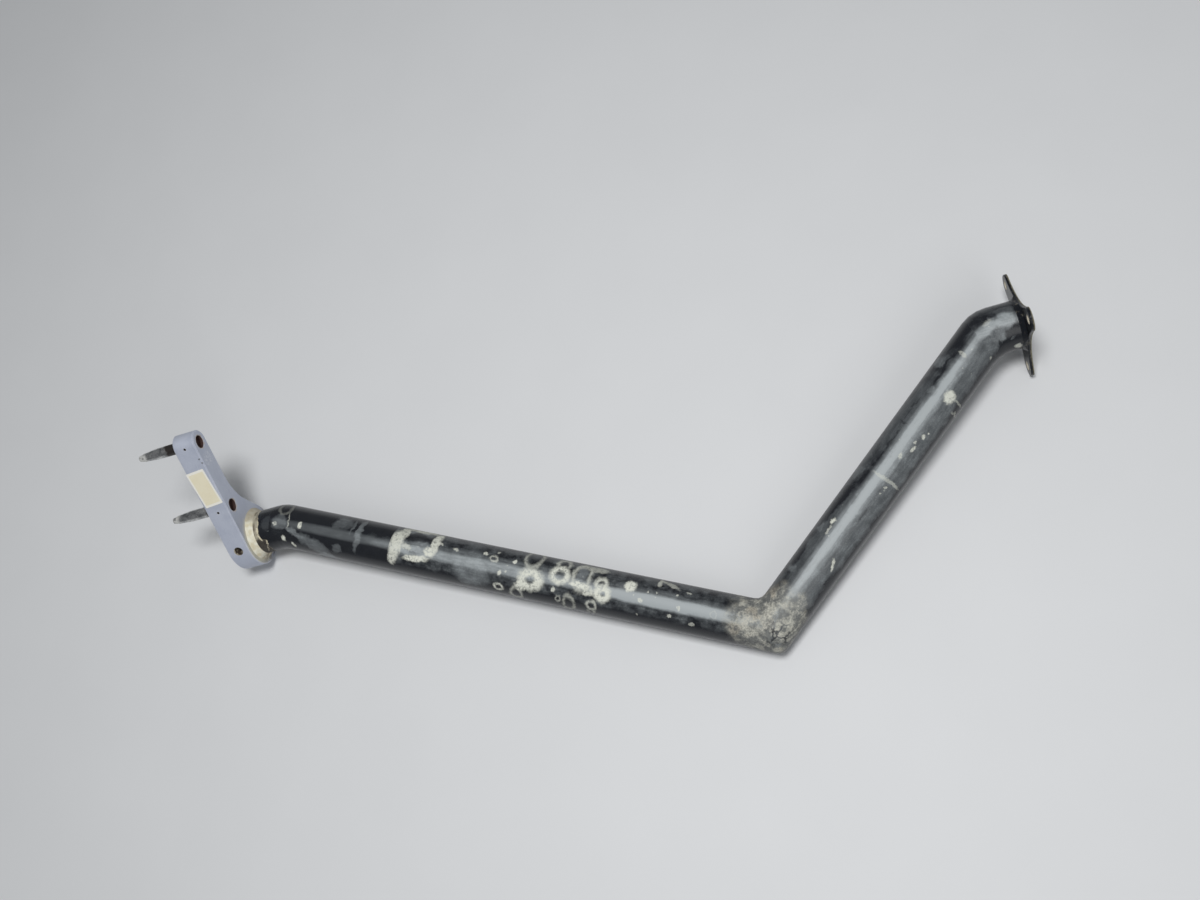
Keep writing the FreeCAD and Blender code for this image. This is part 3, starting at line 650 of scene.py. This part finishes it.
LABEL_MARGIN_ENDS = (9.9, 10.2)
LABEL_MARGIN_SIDES = (4.5, 4.8)
PAPER_DARK = (0.72, 0.65, 0.46)
PAPER_PALE = (0.80, 0.76, 0.60)
PAPER_MARGIN = (0.83, 0.82, 0.77)
PAPER_SPOT = (0.42, 0.30, 0.16)
SEALANT_DARK = (0.66, 0.60, 0.43)
SEALANT_PALE = (0.82, 0.80, 0.67)
SEALANT_LOWER_DARK = (0.17, 0.13, 0.09)
SEALANT_BACK = (0.24, 0.20, 0.14)
LOWER_DARK_DEPTH = (-7, 5)


def label_paper(name):
    """Blank cream label with a paler margin and faint brown spots."""
    made, nodes, shader = material(name)
    place = nodes.place()
    spread = nodes.noise(place, 5, 4, 0.6)
    paper = nodes.mix(spread, PAPER_DARK, PAPER_PALE)
    centre = in_arm(LABEL_AT, ARM_FLAT, ARM_MIDDLE - LABEL_OFF_CENTRE)
    moved = nodes.vector("SUBTRACT", place, centre)
    length_way = U_AXIS * math.cos(LABEL_TILT) + Vector((-1, 0, 0)) * math.sin(LABEL_TILT)
    width_way = Vector((1, 0, 0)) * math.cos(LABEL_TILT) + U_AXIS * math.sin(LABEL_TILT)
    reach = nodes.math("ABSOLUTE", nodes.measure("DOT_PRODUCT", moved, length_way))
    across = nodes.math("ABSOLUTE", nodes.measure("DOT_PRODUCT", moved, width_way))
    margin = nodes.most([nodes.step(reach, *LABEL_MARGIN_ENDS), nodes.step(across, *LABEL_MARGIN_SIDES)])
    colour = nodes.mix(nodes.all_of(margin, 0.8), paper, PAPER_MARGIN)
    spots = nodes.step(nodes.noise(place, 1.9, 3, 0.6), 0.64, 0.74)
    colour = nodes.mix(nodes.all_of(spots, 0.35), colour, PAPER_SPOT)
    finish_shader(nodes, shader, colour, nodes.blend(spread, 0.5, 0.65), nodes.noise(place, 0.5, 4), 0.04)
    return made


def sealant(name):
    """Hand-laid cream sealant, darker towards the bottom and towards its back."""
    made, nodes, shader = material(name)
    place = nodes.place()
    lumps = nodes.noise(place, 3.2, 3, 0.5)
    colour = nodes.mix(nodes.step(lumps, 0.3, 0.7), SEALANT_DARK, SEALANT_PALE)
    # Darker towards the bottom, and further down towards +Y.
    below = nodes.part(nodes.shaken(place, 5, 2), "Z")
    dark_tone = nodes.step(below, *LOWER_DARK_DEPTH, 1.0, 0.0)
    dark_tone = nodes.all_of(dark_tone, nodes.step(nodes.noise(place, 2.4, 5, 0.65), 0.30, 0.56))
    colour = nodes.mix(nodes.all_of(dark_tone, 0.85), colour, SEALANT_LOWER_DARK)
    back = nodes.step(nodes.part(nodes.shaken(place, 3, 1.5), "Y"), 1.0, 6.0)
    colour = nodes.mix(nodes.all_of(back, 0.6), colour, SEALANT_BACK)
    finish_shader(nodes, shader, colour, nodes.blend(dark_tone, 0.5, 0.75), lumps, 0.35)
    return made


# Finishes, by node. up_side and down_side are how much dust and painted sheen a tube has on its +Y and its -Y
# side.

STUB = dict(start=MATING_FACE, end=FLANGE_BEND, lime=STUB_LIME, painted_highlight=STUB_PAINTED_HIGHLIGHT,
            dust_and_sheen=STUB_DUST_AND_SHEEN, dark=STUB_DARK, up_side=0.2, down_side=0.25)
INBOARD = dict(start=FLANGE_BEND, end=ELBOW, lime=INBOARD_LIME, painted_highlight=INBOARD_PAINTED_HIGHLIGHT,
               dust_and_sheen=INBOARD_DUST_AND_SHEEN, dark=INBOARD_DARK, up_side=0.3, down_side=0.5)
OUTBOARD = dict(start=ELBOW, end=ARM_BEND, lime=OUTBOARD_LIME, painted_highlight=OUTBOARD_PAINTED_HIGHLIGHT,
                dust_and_sheen=OUTBOARD_DUST_AND_SHEEN, dark=OUTBOARD_DARK, up_side=0.4, down_side=0.45)
BEND = dict(start=ELBOW, end=ARM_BEND, lime=ARM_BEND_LIME, painted_highlight=ARM_PAINTED_HIGHLIGHT,
            dust_and_sheen=ARM_BEND_DUST_AND_SHEEN, dark=ARM_BEND_DARK, up_side=0.05, down_side=0.05)
ARM_STUB = dict(start=ARM_BEND, end=(ARM_FAR_FACE, 0, 0), lime=ARM_STUB_LIME, painted_highlight=ARM_PAINTED_HIGHLIGHT,
                dust_and_sheen=ARM_STUB_DUST_AND_SHEEN, dark=ARM_STUB_DARK, up_side=0.05, down_side=0.05)
finishes = {
    "flange_stub_tube": tube_enamel("flange_stub_enamel", **STUB),
    "flange_bend_weld": tube_enamel("flange_bend_enamel", **STUB,
                                    bend_axis=Vector(ELBOW) - Vector(FLANGE_BEND)),
    "inboard_tube": tube_enamel("inboard_enamel", **INBOARD, rubbed=True),
    "elbow_weld": elbow_enamel("elbow_enamel"),
    "outboard_tube": tube_enamel("outboard_enamel", **OUTBOARD, clean_from=OUTBOARD_CLEAN_FROM, rubbed=True),
    "arm_bend_weld": tube_enamel("arm_bend_enamel", **BEND, bend_axis=(-1, 0, 0)),
    "arm_stub_tube": tube_enamel("arm_stub_enamel", **ARM_STUB, bare_from=ARM_STUB_BARE_FROM),
    "flange_plate": flange_enamel("flange_enamel"),
    "flange_weld": flange_enamel("flange_weld_enamel"),
    "drive_arm": arm_finish("arm_finish"),
    "lower_drive_pin": pin_steel("lower_pin_steel", 3.0),
    "upper_drive_pin": pin_steel("upper_pin_steel", 7.5),
    "lower_lock_pin": lock_pin_steel("lower_lock_steel"),
    "upper_lock_pin": lock_pin_steel("upper_lock_steel"),
    "arm_label": label_paper("label_paper"),
    "sealant_fillet": sealant("sealant"),
}
for node_name, made in finishes.items():
    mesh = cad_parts[node_name].data
    mesh.materials.clear()
    mesh.materials.append(made)

# Floor, tilted to the three points that the part rests on: a flange ear, the elbow and the arm's boss

FLOOR_NORMAL = Vector((0.01458, -0.00371, 0.99989))
FLOOR_DEPTH = 25.17 * MM
FLOOR_HALF = 3.0
FLOOR_GREY = (0.66, 0.67, 0.68)
FLOOR_PALE = (0.69, 0.70, 0.71)


def make_floor():
    bpy.ops.mesh.primitive_grid_add(x_subdivisions=8, y_subdivisions=8, size=2 * FLOOR_HALF)
    floor = bpy.context.object
    floor.name = "studio_floor"
    floor.rotation_mode = "QUATERNION"
    floor.rotation_quaternion = FLOOR_NORMAL.to_track_quat("Z", "Y")
    floor.location = FLOOR_NORMAL * -FLOOR_DEPTH
    made, nodes, shader = material("studio_floor")
    place = nodes.place()
    colour = nodes.mix(nodes.noise(place, 60, 2), FLOOR_GREY, FLOOR_PALE)
    finish_shader(nodes, shader, colour, 0.6)
    floor.data.materials.append(made)


make_floor()

# Light: one soft lamp overhead, a wide fill, and a pale room

def lamp(name, place, target, size, power):
    data = bpy.data.lights.new(name, "AREA")
    data.shape = "SQUARE"
    data.size = size
    data.energy = power
    made = bpy.data.objects.new(name, data)
    made.location = place
    made.rotation_mode = "QUATERNION"
    made.rotation_quaternion = (Vector(target) - Vector(place)).to_track_quat("-Z", "Y")
    bpy.context.collection.objects.link(made)


MIDDLE = (-0.24, -0.05, 0.0)
ROOM_COLOUR = (0.93, 0.96, 1.0)
ROOM_STRENGTH = 0.2
lamp("overhead", (-0.15, -0.10, 1.1), MIDDLE, size=0.30, power=8.4)
lamp("fill", (0.35, -1.1, 1.0), MIDDLE, size=0.9, power=4.0)

world = bpy.data.worlds.new("room")
world.use_nodes = True
world.node_tree.nodes["Background"].inputs["Color"].default_value = (*ROOM_COLOUR, 1)
world.node_tree.nodes["Background"].inputs["Strength"].default_value = ROOM_STRENGTH
bpy.context.scene.world = world
bpy.context.scene.view_settings.view_transform = "Standard"

# Camera, at the photograph's place

CAMERA_PLACE = Vector((-101.75, -239.46, 574.72)) * MM
CAMERA_FORWARD = Vector((-0.20539, 0.36815, -0.90680))
CAMERA_UP = Vector((0.25837, 0.91408, 0.31258))
CAMERA_LENS = 34.315
SENSOR_WIDTH = 36.0

lens = bpy.data.cameras.new("camera")
lens.sensor_width = SENSOR_WIDTH
lens.lens = CAMERA_LENS
lens.clip_start = 0.01
lens.clip_end = 20.0
camera = bpy.data.objects.new("camera", lens)
back = -CAMERA_FORWARD.normalized()
right = CAMERA_UP.cross(back).normalized()
up = back.cross(right)
camera.matrix_world = Matrix.Translation(CAMERA_PLACE) @ Matrix((right, up, back)).transposed().to_4x4()
bpy.context.collection.objects.link(camera)
bpy.context.scene.camera = camera
